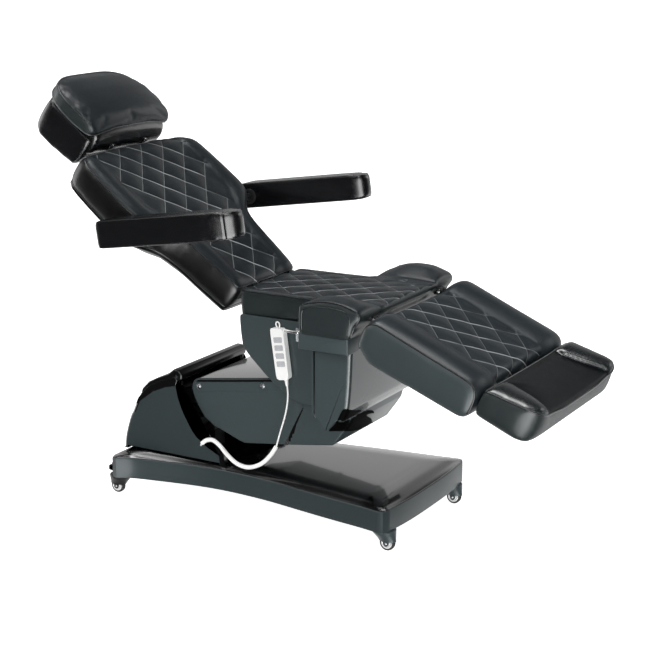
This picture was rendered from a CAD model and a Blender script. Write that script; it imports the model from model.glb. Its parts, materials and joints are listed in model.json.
"""Looks of a facial treatment bed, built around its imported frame. Lengths in the tables are millimetres."""
import json
import math

import bmesh
import bpy
import numpy as np
from mathutils import Matrix, Vector
from mathutils.bvhtree import BVHTree


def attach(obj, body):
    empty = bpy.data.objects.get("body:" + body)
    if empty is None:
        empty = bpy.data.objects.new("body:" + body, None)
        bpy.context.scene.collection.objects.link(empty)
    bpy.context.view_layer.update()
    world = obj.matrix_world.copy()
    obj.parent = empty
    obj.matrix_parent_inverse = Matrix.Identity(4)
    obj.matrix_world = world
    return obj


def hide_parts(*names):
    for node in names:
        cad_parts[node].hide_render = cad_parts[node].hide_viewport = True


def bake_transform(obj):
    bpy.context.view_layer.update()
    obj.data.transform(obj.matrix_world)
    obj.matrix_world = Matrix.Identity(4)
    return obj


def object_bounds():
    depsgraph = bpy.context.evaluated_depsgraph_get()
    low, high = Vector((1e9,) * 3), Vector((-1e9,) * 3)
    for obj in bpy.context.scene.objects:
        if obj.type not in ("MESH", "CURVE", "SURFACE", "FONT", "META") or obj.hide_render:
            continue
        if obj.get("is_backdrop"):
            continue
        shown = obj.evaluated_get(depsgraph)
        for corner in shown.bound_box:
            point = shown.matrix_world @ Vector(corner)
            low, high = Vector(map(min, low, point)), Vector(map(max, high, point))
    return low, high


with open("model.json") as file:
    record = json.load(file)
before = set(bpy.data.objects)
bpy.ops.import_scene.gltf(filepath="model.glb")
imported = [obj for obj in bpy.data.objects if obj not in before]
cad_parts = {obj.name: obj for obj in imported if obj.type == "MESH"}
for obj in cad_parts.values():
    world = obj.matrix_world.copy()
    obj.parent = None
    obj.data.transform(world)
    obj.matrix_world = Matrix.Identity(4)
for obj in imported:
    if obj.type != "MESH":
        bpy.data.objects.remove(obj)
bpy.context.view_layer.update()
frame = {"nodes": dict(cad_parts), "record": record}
scene = bpy.context.scene
MM = 0.001
DX = -0.106407  # where the middle of the plinth stands in the shared frame


# ---------------------------------------------------------------- frames and small geometry helpers
def tilted(x, y, z, deg):
    return Matrix.Translation((x * MM + DX, y * MM, z * MM)) @ Matrix.Rotation(math.radians(deg), 4, "Y") @ Matrix.Scale(MM, 4)


ROW = Matrix.Translation((DX, 0, 0)) @ Matrix.Scale(MM, 4)
BACK = tilted(-51, 0, 729, 37.4)
LEG = tilted(474, 0, 729, 23.5)
ARM = tilted(-345, 0, 912, -8.7)
REMOTE = tilted(106, -206, 632, -8)


def m3(m):
    return np.array(m, float)


def put(V, M):
    a = m3(M)
    return V @ a[:3, :3].T + a[:3, 3]


def arc(c, r, a0, a1, n=8):
    return [[c[0] + r * math.cos(math.radians(a0 + (a1 - a0) * i / n)), c[1] + r * math.sin(math.radians(a0 + (a1 - a0) * i / n))] for i in range(n + 1)]


def unit(v):
    l = math.hypot(v[0], v[1])
    return (v[0] / l, v[1] / l) if l > 1e-9 else (0.0, 0.0)


def clean(poly):
    out = []
    for p in poly:
        if not out or math.hypot(p[0] - out[-1][0], p[1] - out[-1][1]) > 0.05:
            out.append([float(p[0]), float(p[1])])
    if math.hypot(out[0][0] - out[-1][0], out[0][1] - out[-1][1]) < 0.05:
        out.pop()
    return out


def fillet(poly, r, seg=5, closed=True):
    """Rounds every corner of an outline to about r."""
    P = clean(poly) if closed else [list(map(float, p)) for p in poly]
    n = len(P)
    out = []
    for i in range(n):
        b = P[i]
        if not closed and i in (0, n - 1):
            out.append(b)
            continue
        a, c = P[i - 1], P[(i + 1) % n]
        d1, d2 = unit((b[0] - a[0], b[1] - a[1])), unit((c[0] - b[0], c[1] - b[1]))
        cosang = max(-1, min(1, d1[0] * d2[0] + d1[1] * d2[1]))
        th = math.acos(cosang)
        if th < math.radians(3):
            out.append(b)
            continue
        l1, l2 = math.hypot(b[0] - a[0], b[1] - a[1]), math.hypot(c[0] - b[0], c[1] - b[1])
        t = min(r * math.tan(th / 2), 0.48 * l1, 0.48 * l2)
        p0 = (b[0] - d1[0] * t, b[1] - d1[1] * t)
        p1 = (b[0] + d2[0] * t, b[1] + d2[1] * t)
        k = max(2, min(seg, int(math.degrees(th) / 9) + 1))
        for j in range(k + 1):
            u = j / k
            out.append([(1 - u) ** 2 * p0[0] + 2 * u * (1 - u) * b[0] + u * u * p1[0], (1 - u) ** 2 * p0[1] + 2 * u * (1 - u) * b[1] + u * u * p1[1]])
    return clean(out) if closed else out


def offset(poly, t):
    """The closed outline drawn in by t."""
    P = np.array(poly, float)
    n = len(P)
    x, y = P[:, 0], P[:, 1]
    s = 1.0 if np.sum(x * np.roll(y, -1) - np.roll(x, -1) * y) > 0 else -1.0
    a, c = np.roll(P, 1, 0), np.roll(P, -1, 0)
    d1, d2 = P - a, c - P
    d1 /= np.maximum(np.linalg.norm(d1, axis=1, keepdims=True), 1e-9)
    d2 /= np.maximum(np.linalg.norm(d2, axis=1, keepdims=True), 1e-9)
    n1 = np.stack([-d1[:, 1], d1[:, 0]], 1) * s
    n2 = np.stack([-d2[:, 1], d2[:, 0]], 1) * s
    k = 1 + np.sum(n1 * n2, 1, keepdims=True)
    return P + t * (n1 + n2) / np.maximum(k, 0.35)


def spline(pts, k=6, closed=False):
    """Catmull-Rom points through pts."""
    P = np.array(pts, float)
    n = len(P)
    out = []
    for i in range(n if closed else n - 1):
        p0 = P[(i - 1) % n] if closed or i else P[0]
        p1, p2 = P[i], P[(i + 1) % n]
        p3 = P[(i + 2) % n] if closed or i + 2 < n else P[-1]
        for j in range(k):
            t = j / k
            out.append(0.5 * ((2 * p1) + (-p0 + p2) * t + (2 * p0 - 5 * p1 + 4 * p2 - p3) * t * t + (-p0 + 3 * p1 - 3 * p2 + p3) * t ** 3))
    if not closed:
        out.append(P[-1])
    return np.array(out)


def sstep(x, a, b):
    t = np.clip((x - a) / (b - a), 0, 1)
    return t * t * (3 - 2 * t)


def link(ob):
    scene.collection.objects.link(ob)
    return ob


def make(name, V, F, M=ROW, mat=None, body=None, nodes=(), slot=None, smooth=True, sharp=35):
    me = bpy.data.meshes.new(name)
    V = np.asarray(V, float)
    me.from_pydata([tuple(v) for v in put(V, M)], [], [tuple(int(i) for i in f) for f in F])
    me.validate()
    ob = link(bpy.data.objects.new(name, me))
    if mat:
        me.materials.append(mat)
    if smooth:
        me.shade_smooth()
        if sharp:
            me.set_sharp_from_angle(angle=math.radians(sharp))
    if body:
        done(ob, body, nodes, slot)
    return ob


def done(ob, body, nodes=(), slot=None):
    if body:
        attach(ob, body)
    if nodes:
        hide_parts(*nodes)
    return ob


def flip_out(ob):
    bm = bmesh.new()
    bm.from_mesh(ob.data)
    bmesh.ops.remove_doubles(bm, verts=bm.verts, dist=1e-6)
    bmesh.ops.recalc_face_normals(bm, faces=bm.faces)
    bm.to_mesh(ob.data)
    bm.free()
    return ob


def prism(poly, y0, y1, r=0.0, seg=4, r1=None, skip=(), axis="y"):
    """Closed solid: an outline carried from y0 to y1 with its end edges rounded to r; skip leaves out the strips of these outline edges."""
    P = np.array(clean(poly), float)
    n = len(P)
    r1 = r if r1 is None else r1
    rings = []

    def add(pts, y):
        if axis == "y":
            rings.append(np.stack([pts[:, 0], np.full(n, y), pts[:, 1]], 1))
        else:
            rings.append(np.stack([pts[:, 0], pts[:, 1], np.full(n, y)], 1))

    if r > 0:
        for i in range(seg, 0, -1):
            a = math.pi / 2 * i / seg
            add(offset(P, r * (1 - math.cos(a))), y0 + r * (1 - math.sin(a)))
    add(P, y0 + r)
    add(P, y1 - r1)
    if r1 > 0:
        for i in range(1, seg + 1):
            a = math.pi / 2 * i / seg
            add(offset(P, r1 * (1 - math.cos(a))), y1 - r1 * (1 - math.sin(a)))
    V = np.concatenate(rings)
    F = []
    for k in range(len(rings) - 1):
        for i in range(n):
            if i in skip:
                continue
            j = (i + 1) % n
            F.append((k * n + i, k * n + j, (k + 1) * n + j, (k + 1) * n + i))
    F.append(tuple(range(n - 1, -1, -1)))
    F.append(tuple((len(rings) - 1) * n + i for i in range(n)))
    return V, F


def join_vf(*parts):
    V, F, o = [], [], 0
    for v, f in parts:
        V.append(np.asarray(v, float))
        F += [tuple(i + o for i in q) for q in f]
        o += len(v)
    return np.concatenate(V), F


def temp(V, F, M=None):
    me = bpy.data.meshes.new("t")
    me.from_pydata([tuple(v) for v in V], [], [tuple(int(i) for i in f) for f in F])
    ob = link(bpy.data.objects.new("t", me))
    flip_out(ob)
    return ob


def evaluated(ob, keep=False):
    dg = bpy.context.evaluated_depsgraph_get()
    dg.update()
    me = bpy.data.meshes.new_from_object(ob.evaluated_get(dg), depsgraph=dg)
    if not keep:
        bpy.data.objects.remove(ob)
    return me


def boolean(a, b, op):
    m = a.modifiers.new("b", "BOOLEAN")
    m.operation, m.object, m.solver = op, b, "EXACT"
    me = evaluated(a)
    bpy.data.objects.remove(b)
    return link(bpy.data.objects.new("t", me))


def remesh(ob, voxel):
    m = ob.modifiers.new("r", "REMESH")
    m.mode, m.voxel_size, m.adaptivity = "VOXEL", voxel, 0.0
    me = evaluated(ob)
    return arrays(me)


def arrays(me):
    V = np.zeros(len(me.vertices) * 3)
    me.vertices.foreach_get("co", V)
    L = np.zeros(len(me.loops), np.int32)
    me.loops.foreach_get("vertex_index", L)
    S = np.zeros(len(me.polygons), np.int32)
    me.polygons.foreach_get("loop_total", S)
    if (S == 4).all():
        F = L.reshape(-1, 4)
    else:
        F = [L[p.loop_start:p.loop_start + p.loop_total] for p in me.polygons]
    V = V.reshape(-1, 3)
    bpy.data.meshes.remove(me)
    return V, F


def edges_of(F):
    F = np.asarray(F)
    E = np.concatenate([F[:, [0, 1]], F[:, [1, 2]], F[:, [2, 3]], F[:, [3, 0]]])
    E.sort(axis=1)
    return np.unique(E, axis=0)


def relax(V, E, times, lam=0.5, mask=None):
    """Moves vertices to the mean of their neighbours."""
    n = len(V)
    deg = np.bincount(E.ravel(), minlength=n).astype(float)
    V = V.copy()
    for _ in range(times):
        acc = np.stack([np.bincount(E[:, 0], V[E[:, 1], k], n) + np.bincount(E[:, 1], V[E[:, 0], k], n) for k in range(V.shape[1])], 1)
        d = (acc / np.maximum(deg, 1)[:, None] - V) * lam
        V += d if mask is None else d * mask[:, None]
    return V


def normals(V, F):
    F = np.asarray(F)
    a = np.cross(V[F[:, 2]] - V[F[:, 0]], V[F[:, 3]] - V[F[:, 1]])
    N = np.zeros_like(V)
    for k in range(4):
        for c in range(3):
            N[:, c] += np.bincount(F[:, k], a[:, c], len(V))
    return N / np.maximum(np.linalg.norm(N, axis=1, keepdims=True), 1e-9)


def tube(pts, r, sides=8, closed=False, ry=None):
    """Tube mesh along points, its cross-section kept from twisting."""
    P = np.array(pts, float)
    n = len(P)
    T = np.roll(P, -1, 0) - np.roll(P, 1, 0) if closed else np.gradient(P, axis=0)
    T /= np.maximum(np.linalg.norm(T, axis=1, keepdims=True), 1e-9)
    up = np.array([0, 0, 1.0]) if abs(T[0][2]) < 0.9 else np.array([1.0, 0, 0])
    R = np.broadcast_to(np.asarray(r, float), (n,))
    V = []
    x = np.cross(up, T[0])
    x /= np.linalg.norm(x)
    for i in range(n):
        x = x - T[i] * (x @ T[i])
        x /= max(np.linalg.norm(x), 1e-9)
        y = np.cross(T[i], x)
        for s in range(sides):
            a = 2 * math.pi * s / sides
            V.append(P[i] + R[i] * (math.cos(a) * x + math.sin(a) * y))
    F = []
    for i in range(n if closed else n - 1):
        j = (i + 1) % n
        for s in range(sides):
            t = (s + 1) % sides
            F.append((i * sides + s, i * sides + t, j * sides + t, j * sides + s))
    if not closed:
        F.append(tuple(range(sides - 1, -1, -1)))
        F.append(tuple((n - 1) * sides + s for s in range(sides)))
    return np.array(V), F


def lathe(profile, axis_pt, axis="y", seg=48):
    """Solid of revolution; profile is [along, radius] from one end to the other."""
    V, F = [], []
    n = len(profile)
    for i in range(seg):
        a = 2 * math.pi * i / seg
        for d, r in profile:
            if axis == "y":
                V.append((axis_pt[0] + r * math.cos(a), axis_pt[1] + d, axis_pt[2] + r * math.sin(a)))
            else:
                V.append((axis_pt[0] + r * math.cos(a), axis_pt[1] + r * math.sin(a), axis_pt[2] + d))
    for i in range(seg):
        j = (i + 1) % seg
        for k in range(n - 1):
            F.append((i * n + k, j * n + k, j * n + k + 1, i * n + k + 1))
    return np.array(V), F


# ---------------------------------------------------------------- materials
class Tree:
    def __init__(self, name):
        self.mat = bpy.data.materials.new(name)
        self.mat.use_nodes = True
        self.t = self.mat.node_tree
        self.t.nodes.clear()
        self.out = self.t.nodes.new("ShaderNodeOutputMaterial")

    def n(self, kind, props=None, **ins):
        node = self.t.nodes.new("ShaderNode" + kind)
        for k, v in (props or {}).items():
            setattr(node, k, v)
        for k, v in ins.items():
            key = int(k[1:]) if k[0] == "i" and k[1:].isdigit() else k.replace("_", " ")
            self.set(node.inputs[key], v)
        return node

    def set(self, sock, v):
        if isinstance(v, bpy.types.NodeSocket):
            self.t.links.new(v, sock)
        elif isinstance(v, tuple) and len(v) == 3 and sock.type == "RGBA":
            sock.default_value = (*v, 1)
        else:
            sock.default_value = v

    def m(self, op, a, b=0.0, c=None, clamp=False):
        node = self.t.nodes.new("ShaderNodeMath")
        node.operation, node.use_clamp = op, clamp
        self.set(node.inputs[0], a)
        self.set(node.inputs[1], b)
        if c is not None:
            self.set(node.inputs[2], c)
        return node.outputs[0]

    def ramp(self, x, a, b, lo=0.0, hi=1.0):
        node = self.n("MapRange", {"interpolation_type": "SMOOTHSTEP"}, i0=x, i1=a, i2=b, i3=lo, i4=hi)
        return node.outputs[0]

    def mix(self, f, a, b):
        node = self.t.nodes.new("ShaderNodeMix")
        node.data_type = "RGBA"
        self.set(node.inputs[0], f)
        self.set(node.inputs[6], a)
        self.set(node.inputs[7], b)
        return node.outputs[2]

    def noise(self, vec, scale, detail=3.0, rough=0.5):
        return self.n("TexNoise", None, Vector=vec, Scale=scale, Detail=detail, Roughness=rough).outputs[0]

    def attr(self, name):
        return self.n("Attribute", {"attribute_name": name}).outputs["Fac"]

    def bump(self, h, dist, strength=1.0, normal=None):
        node = self.n("Bump", None, Height=h, Distance=dist, Strength=strength)
        if normal is not None:
            self.t.links.new(normal, node.inputs["Normal"])
        return node.outputs[0]

    def principled(self, **ins):
        b = self.n("BsdfPrincipled")
        for k, v in ins.items():
            self.set(b.inputs[k.replace("_", " ")], v)
        self.t.links.new(b.outputs[0], self.out.inputs[0])
        return b


def objco(t):
    return t.n("TexCoord").outputs["Object"]


DEEP = 0.58  # how far the dark finishes are deepened for the studio's light level


def leather(name, base, dark, rough, quilt=False, coat=0.0, wear=0.0, spec=0.5, crinkle=0.3, edge_on=(0.55, 0.90), thread=((0.88, 0.92, 0.94), (0.34, 0.37, 0.38))):
    base, dark = tuple(c * DEEP for c in base), tuple(c * DEEP for c in dark)
    thread = tuple(tuple(c * 0.62 for c in k) for k in thread)
    t = Tree(name)
    P = objco(t)
    big = t.noise(P, 5.0, 3.0)
    mid = t.noise(P, 38.0, 4.0, 0.6)
    pebble = t.n("TexVoronoi", {"feature": "DISTANCE_TO_EDGE"}, Vector=P, Scale=520.0).outputs[0]
    pore = t.noise(P, 900.0, 2.0)
    col = t.mix(t.ramp(big, 0.35, 0.65), base, dark)
    col = t.mix(t.m("MULTIPLY", t.ramp(mid, 0.45, 0.75), 0.3), col, dark)
    if wear:
        edge = t.n("NewGeometry").outputs["Pointiness"]
        worn = t.m("MULTIPLY", t.ramp(edge, 0.51, 0.58), wear)
        col = t.mix(worn, col, tuple(min(1, c * 2.6 + 0.01) for c in base))
    rr = t.m("ADD", rough - 0.06, t.m("MULTIPLY", mid, 0.12))
    rr = t.m("ADD", rr, t.m("MULTIPLY", big, 0.04))
    h = t.m("ADD", t.m("MULTIPLY", t.ramp(pebble, 0.0, 0.12), 0.5), t.m("MULTIPLY", pore, 0.35))
    nrm = t.bump(h, 0.00022, 0.45)
    nrm = t.bump(mid, 0.0012, crinkle, nrm)
    if quilt:
        u, v, q = t.attr("qu"), t.attr("qv"), t.attr("qd")
        su_, sv_ = t.m("SUBTRACT", u, t.m("ROUND", u)), t.m("SUBTRACT", v, t.m("ROUND", v))
        du, dv = t.m("ABSOLUTE", su_), t.m("ABSOLUTE", sv_)
        inside = t.ramp(q, -1.0, 1.5)
        # stitched lines: a row of thread in each crease, with its own shade beside it
        lu = t.m("MULTIPLY", t.ramp(du, 0.010, 0.024, 1.0, 0.0), inside)
        lv = t.m("MULTIPLY", t.ramp(dv, 0.017, 0.032, 1.0, 0.0), inside)
        shade = t.m("MULTIPLY", t.ramp(t.m("MINIMUM", t.m("ABSOLUTE", t.m("SUBTRACT", su_, 0.035)), t.m("ABSOLUTE", t.m("SUBTRACT", sv_, 0.045))), 0.012, 0.035, 1.0, 0.0), inside)
        col = t.mix(t.m("MULTIPLY", shade, 0.55), col, tuple(c * 0.3 for c in dark))
        su = t.m("GREATER_THAN", t.m("FRACT", t.m("MULTIPLY", v, 22.0)), 0.18)
        sv = t.m("GREATER_THAN", t.m("FRACT", t.m("MULTIPLY", u, 22.0)), 0.10)
        fade = t.ramp(t.noise(P, 8.0, 2.0), 0.34, 0.60, 0.45, 1.0)
        col = t.mix(t.m("MULTIPLY", t.m("MULTIPLY", lu, su), 0.7), col, thread[1])
        col = t.mix(t.m("MULTIPLY", t.m("MULTIPLY", t.m("MULTIPLY", lv, sv), fade), 0.95), col, thread[0])
        line = t.m("MAXIMUM", lu, lv)
        border = t.ramp(t.m("ABSOLUTE", q), 0.8, 2.2, 1.0, 0.0)
        col = t.mix(t.m("MULTIPLY", border, 0.5), col, thread[1])
        nrm = t.bump(t.m("SUBTRACT", 1.0, t.m("MAXIMUM", line, border)), 0.0012, 0.5, nrm)
    # hide shine fades where the skin is seen edge on
    graze = t.n("LayerWeight", None, Blend=0.5).outputs["Facing"]
    lvl = t.ramp(graze, edge_on[0], edge_on[1], spec, spec * 0.12)
    cw = t.ramp(graze, edge_on[0], edge_on[1], coat, coat * 0.15) if coat else 0.0
    t.principled(Base_Color=col, Roughness=rr, Normal=nrm, Specular_IOR_Level=lvl, Coat_Weight=cw, Coat_Roughness=0.16)
    return t.mat


def edge_mask(t, radius=0.0018, lo=0.995, hi=0.90):
    """Worn or caught edges, from how far a rounded normal leaves the true one."""
    bv = t.n("Bevel", {"samples": 4}, Radius=radius).outputs[0]
    g = t.n("NewGeometry").outputs["Normal"]
    d = t.n("VectorMath", {"operation": "DOT_PRODUCT"}, i0=bv, i1=g).outputs["Value"]
    return t.ramp(d, hi, lo, 1.0, 0.0)


def plastic(name, base, dark, rough, coat=0.6, coat_rough=0.04, peel=0.00010, spec=0.5, wear=0.25, roll=None):
    if max(base) < 0.3:
        base, dark = tuple(c * DEEP for c in base), tuple(c * DEEP for c in dark)
    t = Tree(name)
    P = objco(t)
    big = t.noise(P, 3.0, 3.0)
    fine = t.noise(P, 60.0, 4.0, 0.6)
    col = t.mix(t.ramp(big, 0.3, 0.7), base, dark)
    col = t.mix(t.m("MULTIPLY", edge_mask(t), wear), col, tuple(min(1, c * 1.9 + 0.02) for c in base))
    low = t.ramp(t.n("SeparateXYZ", None, Vector=P).outputs[2], 0.02, 0.14, 0.05, 0.0)
    col = t.mix(t.m("MULTIPLY", low, fine), col, (0.16, 0.16, 0.155))
    rr = t.m("ADD", rough, t.m("MULTIPLY", t.ramp(big, 0.4, 0.75), 0.05))
    rr = t.m("ADD", rr, t.m("MULTIPLY", fine, 0.05))
    nrm = t.bump(t.noise(P, 240.0, 2.0), peel, 0.35)
    nrm = t.bump(big, 0.002, 0.10, nrm)
    if roll:
        # broad rolled border of a moulded lid
        wide, deep = roll
        sx = t.n("SeparateXYZ", None, Vector=P)
        px = t.m("SUBTRACT", sx.outputs[0], DX)
        ex = t.m("SUBTRACT", 0.529, px)
        waist = t.m("ADD", 0.204, t.m("MULTIPLY", t.m("POWER", t.m("ABSOLUTE", t.m("ADD", px, 0.08)), 1.25), 0.145))
        ey = t.m("SUBTRACT", waist, t.m("ABSOLUTE", sx.outputs[1]))
        k = t.ramp(t.m("MINIMUM", ex, ey), 0.0, wide, 1.0, 0.0)
        nrm = t.bump(t.m("MULTIPLY", t.m("MULTIPLY", k, k), -1.0), deep, 1.0, nrm)
    glow = {"Emission_Color": col, "Emission_Strength": 0.20} if min(base) > 0.8 else {}
    t.principled(Base_Color=col, Roughness=rr, Normal=nrm, Specular_IOR_Level=spec, Coat_Weight=coat, Coat_Roughness=coat_rough, **glow)
    return t.mat


def metal(name, base, rough, brushed=0.4, painted=False, chips=0.0):
    t = Tree(name)
    P = objco(t)
    streak = t.n("TexNoise", None, Vector=t.n("Mapping", None, Vector=P, Scale=(900.0, 40.0, 40.0)).outputs[0], Scale=1.0, Detail=3.0).outputs[0]
    cloud = t.noise(P, 24.0, 5.0, 0.65)
    worn = t.m("MULTIPLY", edge_mask(t, 0.0012), t.ramp(cloud, 0.35, 0.6))
    col = t.mix(t.m("MULTIPLY", cloud, 0.35), base, tuple(c * 0.6 for c in base))
    rr = t.m("ADD", rough, t.m("MULTIPLY", cloud, 0.16))
    nrm = t.bump(streak, 0.00008, brushed)
    nrm = t.bump(t.noise(P, 400.0, 2.0), 0.00015, 0.4, nrm)
    if painted:
        col = t.mix(t.m("MULTIPLY", worn, chips), col, (0.35, 0.35, 0.34))
        met = t.m("MULTIPLY", worn, chips)
    else:
        col = t.mix(t.m("MULTIPLY", worn, 0.5), col, tuple(min(1, c * 1.3) for c in base))
        met = 1.0
    t.principled(Base_Color=col, Roughness=rr, Metallic=met, Normal=nrm)
    return t.mat


MAT = {}
MAT["leather_seat"] = leather("leather_seat", (0.025, 0.034, 0.040), (0.018, 0.025, 0.031), 0.34, quilt=True, wear=0.10, spec=0.34)
MAT["leather_leg"] = leather("leather_leg", (0.040, 0.053, 0.061), (0.030, 0.040, 0.048), 0.34, quilt=True, wear=0.10, spec=0.75, edge_on=(0.26, 0.56))
MAT["leather_foot"] = leather("leather_foot", (0.010, 0.013, 0.015), (0.007, 0.009, 0.011), 0.30, spec=0.06, crinkle=0.2)
MAT["leather_end"] = leather("leather_end", (0.022, 0.028, 0.031), (0.017, 0.022, 0.025), 0.24, coat=0.8, spec=0.8, crinkle=0.35, edge_on=(0.30, 0.62))
MAT["leather_plain"] = leather("leather_plain", (0.027, 0.036, 0.042), (0.021, 0.028, 0.034), 0.32, wear=0.10, spec=0.38)
MAT["leather_side"] = leather("leather_side", (0.036, 0.050, 0.052), (0.028, 0.040, 0.042), 0.34, coat=0.1)
MAT["leather_panel"] = leather("leather_panel", (0.080, 0.108, 0.113), (0.066, 0.091, 0.096), 0.34, coat=0.1)
MAT["leather_gloss"] = leather("leather_gloss", (0.008, 0.0085, 0.0105), (0.006, 0.0064, 0.008), 0.20, coat=0.75, crinkle=0.12)
MAT["leather_black"] = leather("leather_black", (0.007, 0.007, 0.007), (0.004, 0.004, 0.0045), 0.28, coat=0.12, crinkle=0.10)
MAT["piping"] = leather("piping", (0.020, 0.024, 0.027), (0.014, 0.017, 0.019), 0.22, coat=0.5)
MAT["piping_light"] = leather("piping_light", (0.13, 0.145, 0.15), (0.09, 0.10, 0.105), 0.26, coat=0.5)
MAT["plinth_shell"] = plastic("plinth_shell", (0.066, 0.091, 0.097), (0.058, 0.081, 0.087), 0.34, coat=0.12, spec=0.32)
MAT["body_plastic"] = plastic("body_plastic", (0.098, 0.131, 0.138), (0.089, 0.120, 0.128), 0.30, coat=0.05, spec=0.35)
MAT["gloss_dark"] = plastic("gloss_dark", (0.088, 0.108, 0.112), (0.080, 0.099, 0.104), 0.20, coat=0.5)
MAT["opening_black"] = plastic("opening_black", (0.004, 0.004, 0.004), (0.002, 0.002, 0.002), 0.60, coat=0.0, spec=0.02, wear=0.0)
MAT["visor_black"] = plastic("visor_black", (0.006, 0.006, 0.0065), (0.004, 0.004, 0.0045), 0.26, coat=0.25, spec=0.3)
MAT["gloss_black"] = plastic("gloss_black", (0.004, 0.004, 0.005), (0.003, 0.003, 0.004), 0.08, coat=1.0, coat_rough=0.03)
MAT["gloss_top"] = plastic("gloss_top", (0.006, 0.006, 0.007), (0.005, 0.005, 0.006), 0.10, coat=1.0, coat_rough=0.05, spec=0.9)
MAT["gloss_lid"] = plastic("gloss_lid", (0.006, 0.006, 0.007), (0.005, 0.005, 0.006), 0.10, coat=1.0, coat_rough=0.05, spec=0.9, roll=(0.085, 0.022))
MAT["black_plastic"] = plastic("black_plastic", (0.010, 0.010, 0.011), (0.006, 0.006, 0.007), 0.38, coat=0.0)
MAT["wheel_tread"] = plastic("wheel_tread", (0.012, 0.012, 0.013), (0.008, 0.008, 0.008), 0.55, coat=0.0, peel=0.0004)
MAT["control_case"] = plastic("control_case", (0.24, 0.25, 0.26), (0.20, 0.21, 0.22), 0.4, coat=0.1)
MAT["remote_white"] = plastic("remote_white", (0.93, 0.93, 0.92), (0.88, 0.88, 0.87), 0.30, coat=0.3, wear=0.1)
MAT["remote_key"] = plastic("remote_key", (0.60, 0.61, 0.63), (0.52, 0.53, 0.55), 0.4, coat=0.1)
MAT["cord_white"] = plastic("cord_white", (0.94, 0.94, 0.93), (0.90, 0.90, 0.89), 0.42, coat=0.0, wear=0.0)
MAT["frame_steel"] = metal("frame_steel", (0.014, 0.015, 0.016), 0.42, 0.1, painted=True, chips=0.5)
MAT["bright_steel"] = metal("bright_steel", (0.80, 0.81, 0.82), 0.18, 0.5)
MAT["bolt_steel"] = metal("bolt_steel", (0.45, 0.46, 0.48), 0.25, 0.4)
MAT["hub_white"] = plastic("hub_white", (0.90, 0.90, 0.90), (0.84, 0.84, 0.84), 0.22, coat=0.8, wear=0.1)


# ---------------------------------------------------------------- upholstery
SOFT = []


class Soft:
    """A padded piece: closed solid, voxel skin, cloth under pressure, then seams and quilting."""

    def __init__(self, name, body, nodes, M, solid, voxel, slot, shape=None, pin=None, cap=12.0, lattice=None, detail=None, mats=None, matfn=None, rounding=5):
        self.__dict__.update(locals())
        V, F = remesh(solid, voxel)
        self.F = np.asarray(F)
        self.E = edges_of(self.F)
        V = relax(V, self.E, rounding, 0.6)
        if shape is not None:
            V = shape(V, normals(V, self.F))
            V = relax(V, self.E, 2, 0.5)
        self.V = V
        SOFT.append(self)

    def start(self):
        me = bpy.data.meshes.new("sim")
        W = put(self.V, self.M)
        me.from_pydata([tuple(v) for v in W], [], [tuple(int(i) for i in f) for f in self.F])
        ob = link(bpy.data.objects.new("sim_" + self.name, me))
        vg = ob.vertex_groups.new(name="pin")
        w = np.clip(self.pin(self.V, normals(self.V, self.F)), 0, 1)
        for level in range(1, 11):
            idx = np.nonzero((w > (level - 0.5) / 10) & (w <= (level + 0.5) / 10))[0]
            if len(idx):
                vg.add([int(i) for i in idx], level / 10, "REPLACE")
        m = ob.modifiers.new("c", "CLOTH")
        s = m.settings
        s.quality = 4
        s.mass = 0.25
        s.tension_stiffness = s.compression_stiffness = 18
        s.shear_stiffness = 10
        s.bending_stiffness = 2.5
        s.use_pressure = True
        s.uniform_pressure_force = 4.0
        s.vertex_group_mass = "pin"
        s.pin_stiffness = 1.0
        s.effector_weights.gravity = 0.0
        m.collision_settings.use_collision = False
        m.point_cache.frame_start, m.point_cache.frame_end = 1, 20
        self.ob = ob

    def collect(self):
        me = evaluated(self.ob)
        W, _ = arrays(me)
        inv = np.linalg.inv(m3(self.M)[:3, :3])
        d = (W - put(self.V, self.M)) @ inv.T
        self.puff(d)

    def puff(self, d):
        l = np.linalg.norm(d, axis=1)
        k = self.cap * (1 - np.exp(-l / self.cap)) / np.maximum(l, 1e-9)
        d = relax(d * k[:, None], self.E, 3, 0.5)
        self.V = self.V + d

    def build(self):
        me = bpy.data.meshes.new(self.name)
        me.from_pydata([tuple(v) for v in self.V], [], [tuple(int(i) for i in f) for f in self.F])
        ob = link(bpy.data.objects.new("t", me))
        m = ob.modifiers.new("s", "SUBSURF")
        m.levels = m.render_levels = 1
        V, F = arrays(evaluated(ob))
        F = np.asarray(F)
        N = normals(V, F)
        q = None
        if self.lattice:
            q = self.lattice(V, N)
            V = V + N * q["disp"][:, None]
        if self.detail:
            V = self.detail(V, normals(V, F))
        N = normals(V, F)
        me = bpy.data.meshes.new(self.name)
        me.from_pydata([tuple(v) for v in put(V, self.M)], [], [tuple(int(i) for i in f) for f in F])
        ob = link(bpy.data.objects.new(self.name, me))
        for n in self.mats:
            me.materials.append(MAT[n])
        if self.matfn:
            C = V[F].mean(1)
            CN = N[F].mean(1)
            me.polygons.foreach_set("material_index", self.matfn(C, CN).astype(np.int32))
        if q:
            for k in ("qu", "qv", "qd"):
                a = me.attributes.new(k, "FLOAT", "POINT")
                a.data.foreach_set("value", q[k].astype(np.float32))
        me.shade_smooth()
        me.update()
        self.me, self.LV, self.LF, self.LN, self.obj = me, V, F, N, ob
        self.tree = BVHTree.FromPolygons([Vector(v) for v in V], [list(map(int, f)) for f in F])
        done(ob, self.body, self.nodes, self.slot)

    def snap(self, pts, lift):
        out = []
        for p in pts:
            loc, nor, _, _ = self.tree.find_nearest(Vector(p))
            out.append(np.array(loc) + np.array(nor) * lift)
        out = np.array(out)
        return out


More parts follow.
